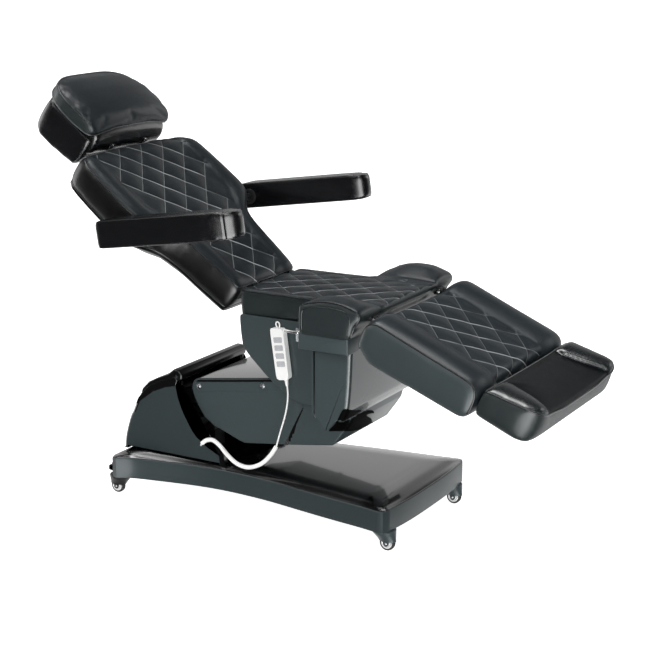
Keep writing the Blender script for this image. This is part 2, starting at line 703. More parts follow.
def resample(pts, step, closed=False):
    P = np.array(pts, float)
    if closed:
        P = np.concatenate([P, P[:1]])
    d = np.concatenate([[0], np.cumsum(np.linalg.norm(np.diff(P, axis=0), axis=1))])
    n = max(3, int(d[-1] / step))
    t = np.linspace(0, d[-1], n, endpoint=not closed)
    return np.stack([np.interp(t, d, P[:, k]) for k in range(3)], 1)


def smooth_path(P, times, closed):
    P = P.copy()
    for _ in range(times):
        if closed:
            P = P + 0.5 * ((np.roll(P, 1, 0) + np.roll(P, -1, 0)) / 2 - P)
        else:
            P[1:-1] += 0.5 * ((P[:-2] + P[2:]) / 2 - P[1:-1])
    return P


def piping(name, soft, paths, r=2.6, mat="piping", closed=False, lift=0.3, step=6.0, slot=None):
    """Covered cord sewn into a seam, following the finished skin."""
    parts = []
    for p in paths:
        q = soft.snap(resample(p, step, closed), lift * r)
        q = smooth_path(q, 3, closed)
        parts.append(tube(q, r, 8, closed))
    V, F = join_vf(*parts)
    return make(name, V, F, soft.M, MAT[mat], soft.body, (), slot or soft.slot, sharp=None)


def lattice(x0, a, b, H, limit, top, unroll=None):
    """Diamond quilting: half diagonals a along x and b along y; limit(xc) is the largest |y| of a diamond's centre."""
    g = math.sqrt(1 / (4 * a * a) + 1 / (4 * b * b))

    def fn(V, N):
        x = unroll(V) if unroll else V[:, 0]
        y = V[:, 1]
        u = (x - x0) / (2 * a) + y / (2 * b)
        v = (x - x0) / (2 * a) - y / (2 * b)
        iu, iv = np.floor(u), np.floor(v)
        fu, fv = u - iu, v - iv

        def inside(i, j):
            xc = x0 + (i + j + 1) * a
            yc = (i - j) * b
            return np.abs(yc) <= limit(xc) + 1e-6

        me = inside(iu, iv)
        d = np.full(len(V), 26.0)
        for di, dj, dist in ((-1, 0, fu / g), (1, 0, (1 - fu) / g), (0, -1, fv / g), (0, 1, (1 - fv) / g)):
            other = inside(iu + di, iv + dj)
            d = np.where(other != me, np.minimum(d, dist), d)
        qd = np.where(me, d, -d)
        p = np.sqrt(np.abs(np.sin(np.pi * u)) * np.abs(np.sin(np.pi * v)) + 1e-6)
        out = 0.85 * (1 - np.exp(-np.abs(qd) / 11.0))
        h = np.where(me, p, out)
        w = top(V, N)
        return {"qu": u, "qv": v, "qd": np.where(w > 0.25, qd, -26.0), "disp": H * (h - 0.5) * w}

    return fn


# backrest ------------------------------------------------
BH = [[0, 172], [40, 175], [110, 183], [160, 187], [205, 193], [240, 202], [268, 214], [292, 236], [315, 266], [340, 296], [362, 308], [395, 315], [450, 314], [520, 311], [575, 306], [605, 300], [628, 284], [643, 258], [650, 212], [656, 110], [657, 1]]


def hw_back(x):
    return np.interp(-np.asarray(x), [p[0] for p in BH], [p[1] for p in BH])


def qw_back(x):
    return np.interp(-np.asarray(x), [0, 100, 185, 240, 300, 370, 500, 622, 657], [112, 116, 120, 138, 176, 222, 232, 226, 218])


half = [[-s, w] for s, w in BH]
outline = fillet(half + [[p[0], -p[1]] for p in reversed(half)], 26, 6)


def back_shape(V, N):
    w = sstep(V[:, 2], -50, -8)
    y = np.abs(V[:, 1])
    q, h = qw_back(V[:, 0]), hw_back(V[:, 0])
    t = np.clip((y - q) / np.maximum(h - q, 20), 0, 1)
    z = np.where(y < q, -6.0 + 1.5 * (y / q) ** 2, 0) + np.where(y >= q, -4.5 + 12 * np.sin(np.pi * np.clip(t, 0, 1) ** 0.85 * 0.8) ** 0.9 * sstep(h - q, 30, 90) - 1.5 * t ** 4, 0)
    s = -V[:, 0]
    z += -7 * sstep(s, 600, 650) - 9 * sstep(-s, -34, -2)
    V = V.copy()
    V[:, 2] += z * w
    # the boxing bellies out a little between its seams
    side = sstep(1 - np.abs(N[:, 2]), 0.55, 0.9)
    V += N * (4.5 * np.sin(np.pi * np.clip((V[:, 2] + 100) / 100, 0, 1)) * side)[:, None]
    return V


def pin_rows(zlo, zhi, extra=None):
    """Sewn rows: the underside, and the two seams of the boxing."""

    def fn(V, N):
        w = sstep(-V[:, 2], -zlo - 8, -zlo)
        w = np.maximum(w, 0.75 * np.exp(-((V[:, 2] - zhi) / 6.0) ** 2) * (np.abs(N[:, 2]) < 0.9))
        return np.maximum(w, extra(V, N)) if extra else w

    return fn


def near_lines(x0, a, b, limit, weight=0.55, unroll=None):
    g = math.sqrt(1 / (4 * a * a) + 1 / (4 * b * b))

    def fn(V, N):
        x = unroll(V) if unroll else V[:, 0]
        u = (x - x0) / (2 * a) + V[:, 1] / (2 * b)
        v = (x - x0) / (2 * a) - V[:, 1] / (2 * b)
        d = np.minimum(np.abs(u - np.round(u)), np.abs(v - np.round(v))) / g
        inside = np.abs(V[:, 1]) < limit(x) + b
        return weight * np.exp(-(d / 6.0) ** 2) * inside * (N[:, 2] > 0.3)

    return fn


V, F = prism(outline, -100, 3, 12, 5, r1=11, axis="z")
back_limit = lambda xc: qw_back(xc) - 50
back = Soft("back_upholstery", "backrest", ["back_cushion"], BACK, temp(V, F), 7.0, "leather_seat", shape=back_shape,
            pin=pin_rows(-94, -14, near_lines(-503, 54, 58, back_limit)), cap=11,
            lattice=lattice(-503, 54, 58, 4.4, back_limit, lambda V, N: sstep(N[:, 2], 0.5, 0.85) * sstep(V[:, 2], -30, -10)),
            mats=["leather_seat", "leather_black"], matfn=lambda C, N: np.where((N[:, 2] > 0.45), 0, 1))

# seat ------------------------------------------------
mid = [[-49, 636], [-49, 718]] + arc([-37, 718], 12, 180, 90, 4) + [[120, 731], [240, 733], [400, 736], [436, 737]] + arc([443, 727], 11, 90, -45, 6) + [[436, 714], [424, 708], [418, 700], [417, 672], [403, 664], [262, 664], [234, 650]]
wing = [[238, 650], [237, 728]] + arc([251, 730], 14, 180, 100, 4) + [[300, 757], [335, 761], [385, 757], [422, 745]] + arc([430, 725], 18, 70, -50, 6) + [[432, 700], [422, 690], [416, 668], [405, 650]]
a = temp(*prism(fillet(mid, 8), -178, 178))
for s in (-1, 1):
    lo, hi = (-309, -150) if s < 0 else (150, 309)
    b = temp(*prism(fillet(wing, 9), lo, hi))
    a = boolean(a, b, "UNION")


def seat_unroll(V):
    return V[:, 0] + np.clip(735 - V[:, 2], 0, 60) * sstep(V[:, 0], 430, 446)


def seat_shape(V, N):
    V = V.copy()
    y = np.abs(V[:, 1])
    w = sstep(V[:, 2], 700, 728) * (N[:, 2] > 0)
    mid = (y < 178) | (V[:, 0] < 236)
    V[:, 2] += w * np.where(mid, -2 + 5 * np.cos(np.pi * np.clip(V[:, 1] / 178, -1, 1) / 2), 0)
    # the wings grow out of the seat in a long slope, both from its middle and from the waist
    base = 733.0
    k = sstep(y, 158, 262) * sstep(V[:, 0], 205, 300)
    k = np.maximum(k, sstep(y, 262, 300) * sstep(V[:, 0], 205, 262))
    up = np.clip(V[:, 2] - base, 0, 60)
    V[:, 2] = np.where((V[:, 2] > base) & (y > 140) & (V[:, 0] > 200), base + up * np.clip(0.12 + 0.95 * k, 0, 1.05), V[:, 2])
    wing = (y > 178) & (V[:, 0] > 240)
    t = np.clip((y - 178) / 131, 0, 1)
    V[:, 2] += w * wing * (5 * np.sin(np.pi * t ** 0.9))
    side = sstep(1 - np.abs(N[:, 2]), 0.55, 0.9)
    belly = 2.2 * np.sin(np.pi * np.clip((V[:, 2] - 655) / 76, 0, 1)) * side
    V += N * belly[:, None]
    return V


seat_limit = lambda xc: np.full_like(np.asarray(xc, float), 108.0)


def seat_pin(V, N):
    w = sstep(-V[:, 2], -668, -660)
    y = np.abs(V[:, 1])
    w = np.maximum(w, 0.6 * np.exp(-((y - 178) / 7) ** 2) * (V[:, 0] > 236) * (N[:, 2] > 0.1))
    w = np.maximum(w, 0.7 * np.exp(-((V[:, 0] - 237) / 7) ** 2) * (y > 165))
    w = np.maximum(w, 0.6 * np.exp(-((V[:, 2] - 722) / 6) ** 2) * (np.abs(N[:, 1]) > 0.5) * (V[:, 0] < 236))
    return np.maximum(w, near_lines(176, 58, 51, seat_limit, unroll=seat_unroll)(V, N) * (y < 170))


def seat_detail(V, N):
    V = V.copy()
    y = np.abs(V[:, 1])
    # crease where the wings are sewn to the seat, and where they end at the waist
    d = np.abs(y - 182)
    V[:, 2] -= 2.5 * np.exp(-(d / 5) ** 2) * sstep(V[:, 0], 300, 350) * sstep(N[:, 2], 0.0, 0.5)
    d = np.abs(V[:, 0] - 236)
    V += -N * (3.0 * np.exp(-(d / 4) ** 2) * (y > 166))[:, None]
    # seam under the top panel of the waist
    V += -N * (2.2 * np.exp(-((V[:, 2] - 716) / 3.5) ** 2) * sstep(np.abs(N[:, 1]), 0.5, 0.8) * (V[:, 0] < 234))[:, None]
    return V


seat = Soft("seat_upholstery", "seat", ["seat_cushion"], ROW, a, 7.0, "leather_seat", shape=seat_shape, pin=seat_pin, cap=10,
            lattice=lattice(176, 58, 51, 6.0, seat_limit, lambda V, N: sstep(N[:, 2], 0.45, 0.85) * sstep(V[:, 2], 712, 724) * sstep(176 - np.abs(V[:, 1]), 0, 12), seat_unroll),
            detail=seat_detail, mats=["leather_seat", "leather_side"], matfn=lambda C, N: np.where(N[:, 2] > 0.5, 0, 1))

# leg rest ------------------------------------------------
leg_side = [[2, -62], [1, -20]] + arc([22, -20], 21, 180, 90, 5) + [[60, 2], [340, 2]] + arc([350, -36], 38, 90, 0, 6) + [[388, -92], [380, -106], [366, -112], [60, -124], [50, -122], [3, -92]]


def leg_unroll(V):
    x, z = V[:, 0], V[:, 2]
    phi = np.arctan2(np.maximum(x - 350, 0), np.maximum(z + 36, 1e-3))
    return np.where(x > 350, 350 + 38 * phi + np.maximum(-36 - z, 0), x)


def leg_shape(V, N):
    V = V.copy()
    y = np.abs(V[:, 1])
    front = sstep(V[:, 0], 330, 372)
    w = np.maximum(sstep(V[:, 2], -50, -8), front * sstep(V[:, 2], -110, -40))
    t = np.clip((y - 176) / 144, 0, 1)
    h = np.where(y < 176, -8.0 - 1.5 * np.cos(np.pi * y / 352), -8.0 + 17 * np.sin(np.pi * np.clip(t * 0.93 + 0.02, 0, 1)) ** 0.75)
    up = np.where((V[:, 0] > 345)[:, None], np.stack([np.maximum(V[:, 0] - 345, 0) / 43, 0 * y, np.clip((V[:, 2] + 50) / 50, 0, 1)], 1), np.array([0, 0, 1.0]))
    up /= np.maximum(np.linalg.norm(up, axis=1, keepdims=True), 1e-6)
    V += up * (h * w)[:, None]
    V[:, 2] -= 5 * sstep(-V[:, 0], -30, -4) * w
    side = sstep(1 - np.abs(N[:, 2]), 0.55, 0.9) * (np.abs(N[:, 1]) > 0.6)
    V += N * (4.0 * np.sin(np.pi * np.clip((V[:, 2] + 115) / 112, 0, 1)) * side)[:, None]
    return V


leg_limit = lambda xc: np.full_like(np.asarray(xc, float), 117.0)
leg = Soft("leg_upholstery", "legrest", ["leg_cushion"], LEG, temp(*prism(fillet(leg_side, 10), -320, 320, 12, 4)), 7.0, "leather_seat", shape=leg_shape,
           pin=pin_rows(-104, -12, lambda V, N: np.maximum(near_lines(226, 58, 54, leg_limit, unroll=leg_unroll)(V, N), 0.7 * np.exp(-((np.abs(V[:, 1]) - 176) / 7) ** 2) * (N[:, 2] > 0.1))), cap=11,
           lattice=lattice(226, 58, 54, 4.8, leg_limit, lambda V, N: sstep(N[:, 2] + 1.2 * np.maximum(N[:, 0], 0), 0.5, 0.85) * sstep(V[:, 2], -100, -60) * sstep(V[:, 0], 4, 30), leg_unroll),
           mats=["leather_leg", "leather_panel"], matfn=lambda C, N: np.where((N[:, 2] + np.maximum(N[:, 0], 0) > 0.5) & (np.abs(N[:, 1]) < 0.8), 0, 1))

# foot rest ------------------------------------------------
foot_side = [[398, -70], [399, -8], [404, 3], [416, 8], [520, 20], [560, 22], [574, 14], [580, 0], [582, -24], [578, -62], [570, -76], [556, -83], [402, -83]]
fp = [[397, 306], [403, 312], [520, 312], [548, 304], [568, 284], [578, 252], [582, 120], [582, 1]]
foot_plan = fillet(fp + [[p[0], -p[1]] for p in reversed(fp)], 16)
a = temp(*prism(fillet(foot_side, 9), -312, 312))
a = boolean(a, temp(*prism(foot_plan, -100, 60, axis="z")), "INTERSECT")


def foot_top(x):
    return np.interp(x, [398, 404, 416, 520, 560, 574, 582], [-8, 3, 8, 20, 22, 14, -10])


def foot_edge(x):
    """Half width where a raised end of the foot rest begins."""
    return np.interp(x, [398, 430, 500, 582], [196, 188, 204, 236])


def foot_shape(V, N):
    V = V.copy()
    y = np.abs(V[:, 1])
    w = sstep(V[:, 2] - foot_top(V[:, 0]), -40, -6)
    e = foot_edge(V[:, 0])
    t = np.clip((y - e) / np.maximum(312 - e, 10), 0, 1)
    ends = 15 * np.sin(np.pi * np.clip(t * 0.9 + 0.05, 0, 1)) ** 0.7 - 6
    mid = -15.0 + 2 * (y / 190) ** 2
    k = sstep(y - e, -10, 8)
    h = mid * (1 - k) + ends * k
    h *= sstep(V[:, 0], 396, 420) * (1 - 0.55 * sstep(V[:, 0], 556, 580))
    V[:, 2] += h * w
    side = sstep(1 - np.abs(N[:, 2]), 0.55, 0.9)
    V += N * (4.0 * np.sin(np.pi * np.clip((V[:, 2] + 84) / 92, 0, 1)) * side)[:, None]
    return V


def foot_detail(V, N):
    y = np.abs(V[:, 1])
    d = np.abs(y - foot_edge(V[:, 0]))
    on = sstep(N[:, 2], 0.3, 0.7) * sstep(V[:, 0], 396, 430) * (1 - sstep(V[:, 0], 555, 575))
    return V - N * (5.0 * np.exp(-(d / 6.0) ** 2) * on)[:, None]


foot = Soft("foot_upholstery", "footrest", ["foot_cushion"], LEG, a, 6.5, "leather_seat", shape=foot_shape,
            pin=pin_rows(-78, 2, lambda V, N: 0.6 * np.exp(-((np.abs(V[:, 1]) - foot_edge(V[:, 0])) / 7) ** 2) * (N[:, 2] > 0.3)), cap=9,
            detail=foot_detail, mats=["leather_foot", "leather_side", "leather_end"], matfn=lambda C, N: np.where(N[:, 2] > 0.55, np.where(np.abs(C[:, 1]) < foot_edge(C[:, 0]), 0, 2), 1))

# head block and pillow ------------------------------------------------
blk_side = [[-692, 2], [-688, -8], [-686, -50], [-688, -90], [-702, -112], [-800, -122], [-868, -121], [-895, -108], [-905, -80], [-908, -40], [-907, -12], [-901, 2]]
bp = [[-907, 1], [-906, 140], [-901, 166], [-888, 182], [-864, 190], [-815, 191], [-690, 191], [-684, 188], [-684, 1]]
a = temp(*prism(fillet(blk_side, 18), -191, 191))
a = boolean(a, temp(*prism(fillet(bp + [[p[0], -p[1]] for p in reversed(bp)], 14), -130, 30, axis="z")), "INTERSECT")


def block_shape(V, N):
    side = sstep(1 - np.abs(N[:, 2]), 0.4, 0.9)
    V = V + N * (3.5 * np.sin(np.pi * np.clip((V[:, 2] + 106) / 108, 0, 1)) * side)[:, None]
    return V


block = Soft("head_block_cover", "headrest", ["head_block"], BACK, a, 5.5, "leather_gloss", shape=block_shape,
             pin=pin_rows(-100, -2, lambda V, N: (V[:, 2] > -4) * 1.0), cap=8, mats=["leather_gloss"])

pil_side = [[-938, 20], [-942, 34], [-934, 50], [-900, 66], [-830, 78], [-770, 80], [-716, 75], [-692, 62], [-680, 42], [-681, 26], [-690, 18], [-720, 12], [-900, 4], [-925, 10]]
pp = [[-944, 1], [-942, 70], [-930, 130], [-905, 172], [-870, 200], [-830, 212], [-780, 215], [-716, 214], [-692, 209], [-680, 192], [-680, 120], [-680, 60], [-680, 1]]
pil_plan = fillet(pp + [[p[0], -p[1]] for p in reversed(pp)], 14)
a = temp(*prism(fillet(pil_side, 8), -215, 215))
a = boolean(a, temp(*prism(pil_plan, -10, 100, axis="z")), "INTERSECT")


def arch(V):
    return 24 * np.clip(1 - (np.abs(V[:, 1]) / 200) ** 2.2, 0, 1) * sstep(V[:, 0], -770, -700)


def pillow_shape(V, N):
    V = V.copy()
    y = np.abs(V[:, 1])
    t = np.clip(y / 213, 0, 1)
    top = sstep(V[:, 2], 30, 60)
    V[:, 2] += -top * 13 * t ** 3
    low = 1 - sstep(V[:, 2], 10, 66)
    V[:, 2] += arch(V) * low
    return V


pillow = Soft("head_pillow_cover", "headrest", ["head_pillow"], BACK, a, 5.5, "leather_seat", shape=pillow_shape,
              pin=lambda V, N: np.maximum(sstep(-V[:, 2] + arch(V), -14, -8), 0.7 * np.exp(-((V[:, 2] - 50) / 5) ** 2) * (V[:, 0] < -720) * (N[:, 2] < 0.7)), cap=8,
              mats=["leather_plain", "leather_side"], matfn=lambda C, N: np.where((N[:, 2] > 0.35) | (C[:, 0] > -700), 0, 1))

# rolled front of the head block, tucked under the arch of the pillow
rol_side = [[-760, -20], [-760, 30], [-720, 34], [-696, 30], [-678, 18], [-668, 0], [-666, -22], [-672, -44], [-690, -58], [-720, -60]]
a = temp(*prism(fillet(rol_side, 10), -186, 186, 8, 3))


def roll_shape(V, N):
    V = V.copy()
    V[:, 2] += arch(V) * sstep(V[:, 2], -10, 22)
    return V


roll = Soft("head_roll_cover", "headrest", [], BACK, a, 5.5, "leather_gloss", shape=roll_shape, pin=lambda V, N: sstep(-V[:, 0], 700, 740), cap=6, mats=["leather_gloss"])

# armrests ------------------------------------------------
arm_side = [[-52, -36], [-52, 36], [-42, 44], [-20, 45], [400, 44], [436, 41], [446, 32], [449, 16], [449, -16], [444, -33], [430, -40], [400, -41], [-40, -42]]


def arm_solid(s):
    a = temp(*prism(fillet(arm_side, 12), 345, 441))
    q = [[-52, 346], [-50, 345], [404, 345], [430, 351], [444, 364], [449, 388], [441, 409], [420, 425], [385, 436], [335, 441], [-44, 441], [-52, 434]]
    a = boolean(a, temp(*prism(fillet(q, 22), -80, 80, axis="z")), "INTERSECT")
    if s < 0:
        for v in a.data.vertices:
            v.co.y = -v.co.y
        a.data.flip_normals()
    return a


def arm_pin(V, N):
    w = 0.85 * np.exp(-((np.abs(V[:, 2] - 3) - 41) / 5) ** 2)
    w = np.maximum(w, 0.7 * np.exp(-((V[:, 0] - 398) / 5) ** 2))
    return np.maximum(w, sstep(-V[:, 0], 40, 48))


arms = []
for s, tag in ((-1, "r"), (1, "l")):
    arms.append(Soft("armrest_cover_" + tag, "armrest_" + tag, ["armrest_pad_" + tag], ARM, arm_solid(s), 5.5, "leather_gloss",
                     pin=arm_pin, cap=5, mats=["leather_gloss"], rounding=5,
                     detail=lambda V, N: V - N * (2.0 * np.exp(-((V[:, 0] - 412) / 2.8) ** 2) * (np.abs(V[:, 1]) > 350))[:, None]))

# pressure fills every cover at once
for s in SOFT:
    s.start()
scene.frame_start, scene.frame_end = 1, 20
for f in range(1, 21):
    scene.frame_set(f)
for s in SOFT:
    s.collect()
scene.frame_set(1)
for s in SOFT:
    s.build()


# ---------------------------------------------------------------- sewn details
def plan_path(outl, zf, inset=0.0):
    return [[p[0], p[1], zf(p) if callable(zf) else zf] for p in (offset(outl, inset) if inset else outl)]


piping("back_piping", back, [plan_path(outline, -5, 2), ], closed=True, r=2.0)
piping("back_piping_rear", back, [plan_path(outline, -94, 2)], closed=True, r=2.2)
for s in (-1, 1):
    tag = "l" if s > 0 else "r"
    path = [[p[0], s * 316, p[1]] for p in spline([[6, -100], [2, -62], [3, -22], [24, -1], [60, 1], [200, 1], [335, 1], [372, -8], [386, -36], [387, -90]], 8)]
    piping("leg_piping_" + tag, leg, [path], r=2.6)
    path = [[p[0], s * 304, p[1]] for p in spline([[412, 658], [420, 676], [430, 704], [444, 726], [424, 744], [385, 756], [335, 760], [290, 754], [252, 744]], 8)]
    piping("wing_piping_" + tag, seat, [path], r=2.4)
    # inset seam of the side panel, bright where it turns down at the front
    path = [[p[0], s * 309, p[1]] for p in fillet([[252, 664], [252, 730], [300, 741], [340, 744], [392, 740], [414, 726], [412, 700], [404, 664]], 14, 6, closed=False)]
    piping("wing_seam_" + tag, seat, [path], r=1.5, lift=-0.2)
    path = [[x, s * 176, 724] for x in np.linspace(-44, 232, 24)]
    piping("waist_piping_" + tag, seat, [path], r=1.8)
    pad = arms[0] if s < 0 else arms[1]
    rows = []
    for z in (41, -38):
        rows.append([[x, s * 439, z] for x in np.linspace(-44, 335, 46)] + [[x, s * y, z] for x, y in ((360, 437), (385, 434), (405, 429), (422, 422), (434, 412), (442, 402), (446, 388), (444, 374), (438, 362), (428, 353), (414, 348))] + [[x, s * 347, z] for x in np.linspace(398, -44, 48)])
    piping("armrest_piping_" + tag, pad, rows, r=1.7, mat="leather_gloss", lift=0.1)
piping("foot_piping", foot, [[[p[0], p[1], foot_top(p[0]) - 4] for p in offset(foot_plan, 3)]], closed=True, r=2.6)
piping("pillow_piping", pillow, [[[p[0], p[1], 54] for p in sorted([q for q in offset(pil_plan, 2).tolist() if q[0] < -716], key=lambda q: math.atan2(q[1], -q[0] - 700))]], r=2.2)
low = offset(pil_plan, 3).tolist()
piping("pillow_piping_low", pillow, [[[p[0], p[1], 17 + (24 * max(0, 1 - (abs(p[1]) / 200) ** 2.2) + 4 if p[0] > -700 else 0)] for p in low]], closed=True, r=2.3, mat="piping_light")
piping("block_piping", block, [[[p[0], p[1], -4] for p in offset(fillet(bp + [[p[0], -p[1]] for p in reversed(bp)], 14), 1)]], closed=True, r=2.0)
for s in (-1, 1):
    piping("block_seam_" + ("l" if s > 0 else "r"), block, [[[x, s * 188, z] for x, z in ((-690, -4), (-692, -40), (-694, -80), (-704, -108))]], r=1.8, mat="piping_light")

# ---------------------------------------------------------------- mouldings
BASE = [[-497, 1], [-497, 254], [-489, 273], [-470, 280], [-420, 256], [-340, 237], [-248, 219], [-170, 208], [-100, 204], [-20, 206], [80, 215], [199, 234], [310, 251], [425, 266], [490, 278], [507, 274], [517, 254], [526, 170], [530, 90], [531, 1]]
side_pts = spline([p for p in BASE if -470 <= p[0] <= 490], 6)
ring0 = [[-497, 1], [-497, 254], [-489, 273]] + [list(p) for p in side_pts] + [[507, 274], [517, 254]] + [list(p) for p in spline([[517, 254], [526, 170], [530, 90], [531, 1]], 6)[1:]]
ring0 = clean(ring0 + [[p[0], -p[1]] for p in reversed(ring0)])
levels = [(3.0, 68.0), (0.8, 68.6), (0.0, 70.5), (0.0, 131.0), (0.6, 134.4), (2.2, 136.4), (5.0, 137.4), (7.0, 137.0), (9.0, 138.0), (30.0, 141.6), (60.0, 144.6), (85.0, 146.2), (95.0, 146.6), (100.0, 146.8)]
n0 = len(ring0)
rings = []
P0 = np.array(ring0)
for t, z in levels:
    if t <= 9:
        q = offset(ring0, t)
    else:
        q = P0 * np.array([(514 - t) / 514, 1]) * 1.0
        q = np.stack([P0[:, 0] - np.clip(P0[:, 0] - 17, -514, 514) / 514 * t, P0[:, 1] * (1 - t / 262)], 1)
    rings.append(np.stack([q[:, 0], q[:, 1], np.full(n0, z)], 1))
V = np.concatenate(rings)
F = [(k * n0 + i, k * n0 + (i + 1) % n0, (k + 1) * n0 + (i + 1) % n0, (k + 1) * n0 + i) for k in range(len(rings) - 1) for i in range(n0)]
F.append(tuple((len(rings) - 1) * n0 + i for i in range(n0)))
inner = offset(ring0, 5)
k0 = len(V)
V = np.concatenate([V, np.stack([inner[:, 0], inner[:, 1], np.full(n0, 68.0)], 1), np.stack([inner[:, 0], inner[:, 1], np.full(n0, 120.0)], 1)])
F += [((i + 1) % n0, i, k0 + i, k0 + (i + 1) % n0) for i in range(n0)]
F += [(k0 + (i + 1) % n0, k0 + i, k0 + n0 + i, k0 + n0 + (i + 1) % n0) for i in range(n0)]
F.append(tuple(k0 + n0 + i for i in range(n0 - 1, -1, -1)))
cover = make("plinth_cover", V, F, ROW, MAT["plinth_shell"], sharp=28)
cover.data.materials.append(MAT["gloss_lid"])
flip_out(cover)
for p in cover.data.polygons:
    p.material_index = 1 if p.center.z > 0.1355 and p.normal.z > 0.3 else 0
done(cover, "base", ["base_cover"], "plinth_shell")


def outward(ob, inside_pt):
    """Turns an open skin's normals away from a point within it."""
    c = ROW @ Vector(inside_pt)
    s = sum(p.area * (p.center - c).dot(p.normal) for p in ob.data.polygons)
    if s < 0:
        ob.data.flip_normals()


def skin(name, poly, y0, y1, r, thick, skip, mat, inside, seg=5, sharp=30, side_r=None):
    V, F = prism(poly, y0, y1, r, seg, skip=skip)
    me = bpy.data.meshes.new(name)
    me.from_pydata([tuple(v) for v in put(V, ROW)], [], F)
    ob = link(bpy.data.objects.new(name, me))
    bm = bmesh.new()
    bm.from_mesh(me)
    bmesh.ops.remove_doubles(bm, verts=bm.verts, dist=1e-6)
    bmesh.ops.recalc_face_normals(bm, faces=bm.faces)
    bm.to_mesh(me)
    bm.free()
    outward(ob, inside)
    me.materials.append(mat)
    m = ob.modifiers.new("s", "SOLIDIFY")
    m.thickness, m.offset, m.use_even_offset = thick * MM, -1, False
    me2 = evaluated(ob)
    me2.name = name
    ob = link(bpy.data.objects.new(name, me2))
    me2.shade_smooth()
    me2.set_sharp_from_angle(angle=math.radians(sharp))
    return ob


# hood over the rear pivots
roof = spline([[-505, 137], [-502, 175], [-492, 215], [-480, 250], [-467, 277], [-448, 317], [-424, 353], [-398, 380], [-368, 396], [-320, 415], [-292, 428]], 4)
lip = fillet([[-292, 428], [-281, 429], [-274, 418], [-277, 402]], 6, closed=False)
front = spline([[-277, 402], [-271, 365], [-262, 335], [-246, 300], [-215, 250], [-188, 226], [-161, 209], [-128, 194], [-114, 184], [-110, 137]], 4)
poly = clean([list(p) for p in roof] + [list(p) for p in lip[1:]] + [list(p) for p in front[1:]])
nr, nl = len(roof), len(lip)
n = len(poly)
open_front = [i for i in range(n) if poly[i][0] > -279 and poly[i][1] < 404 and i > nr] + [n - 1]
hood = skin("hood", poly, -190, 190, 16, 7, set(open_front), MAT["plinth_shell"], (-380, 0, 250), seg=6, sharp=50)
hood.data.materials.append(MAT["gloss_black"])
for p in hood.data.polygons:
    c, nn = (p.center - Vector((DX, 0, 0))) * 1000, p.normal
    roofline = np.interp(c.x, [q[0] for q in roof], [q[1] for q in roof])
    inner_face = abs(c.y) < 184.5 and (c.z < roofline - 5.5) and (abs(nn.y) > 0.9)
    top = c.z > 268 and c.z > roofline - 40 and abs(c.y) <= 190.5
    p.material_index = 1 if (inner_face or top or (abs(c.y) < 182)) else 0
done(hood, "base", ["rear_hood"], "gloss_black")
# thick inward-turned rim along the hood's front
fr = np.array([p for p in front if p[1] < 404])
for s in (-1, 1):
    tag = "l" if s > 0 else "r"
    sec = [[0, 0], [0, 3], [-2, 6], [-8, 7.5], [-24, 7.5], [-30, 4], [-30, 0]]
    T = np.gradient(fr, axis=0)
    T /= np.linalg.norm(T, axis=1, keepdims=True)
    Nn = np.stack([T[:, 1], -T[:, 0]], 1)
    if Nn[len(Nn) // 2][0] > 0:
        Nn = -Nn
    V, F = [], []
    for i in range(len(fr)):
        for a_, b_ in sec:
            d = -a_ * 0.55
            V.append((fr[i][0] + Nn[i][0] * (d - 3), s * (189.5 - (b_ if b_ else 0) * 3.2), fr[i][1] + Nn[i][1] * (d - 3)))
    k = len(sec)
    for i in range(len(fr) - 1):
        for j in range(k):
            F.append((i * k + j, i * k + (j + 1) % k, (i + 1) * k + (j + 1) % k, (i + 1) * k + j))
    F.append(tuple(range(k)))
    F.append(tuple((len(fr) - 1) * k + j for j in range(k)))
    ob = make("hood_rim_" + tag, V, F, ROW, MAT["gloss_black"], sharp=40)
    flip_out(ob)
    done(ob, "base", (), "gloss_black")
# rounded visor that ends the hood, and the dark band below its roof
V, F = prism(fillet([[-430, 338], [-424, 356], [-398, 382], [-368, 398], [-322, 418], [-298, 438], [-278, 437], [-265, 424], [-266, 408], [-282, 397], [-330, 382], [-400, 334]], 9), -190.6, 190.6, 7, 4)
ob = make("hood_visor", V, F, ROW, MAT["visor_black"], sharp=50)
flip_out(ob)
done(ob, "base", (), "gloss_black")
for s in (-1, 1):
    lo, hi = (-191.4, -188) if s < 0 else (188, 191.4)
    V, F = prism(fillet([[-452, 296], [-440, 322], [-420, 346], [-396, 368], [-366, 385], [-318, 404], [-292, 414], [-284, 404], [-290, 384], [-330, 374], [-380, 352], [-420, 322]], 5), lo, hi, 1.2, 3)
    ob = make("hood_band_" + ("l" if s > 0 else "r"), V, F, ROW, MAT["gloss_black"], sharp=40)
    flip_out(ob)
    done(ob, "base", (), "gloss_black")

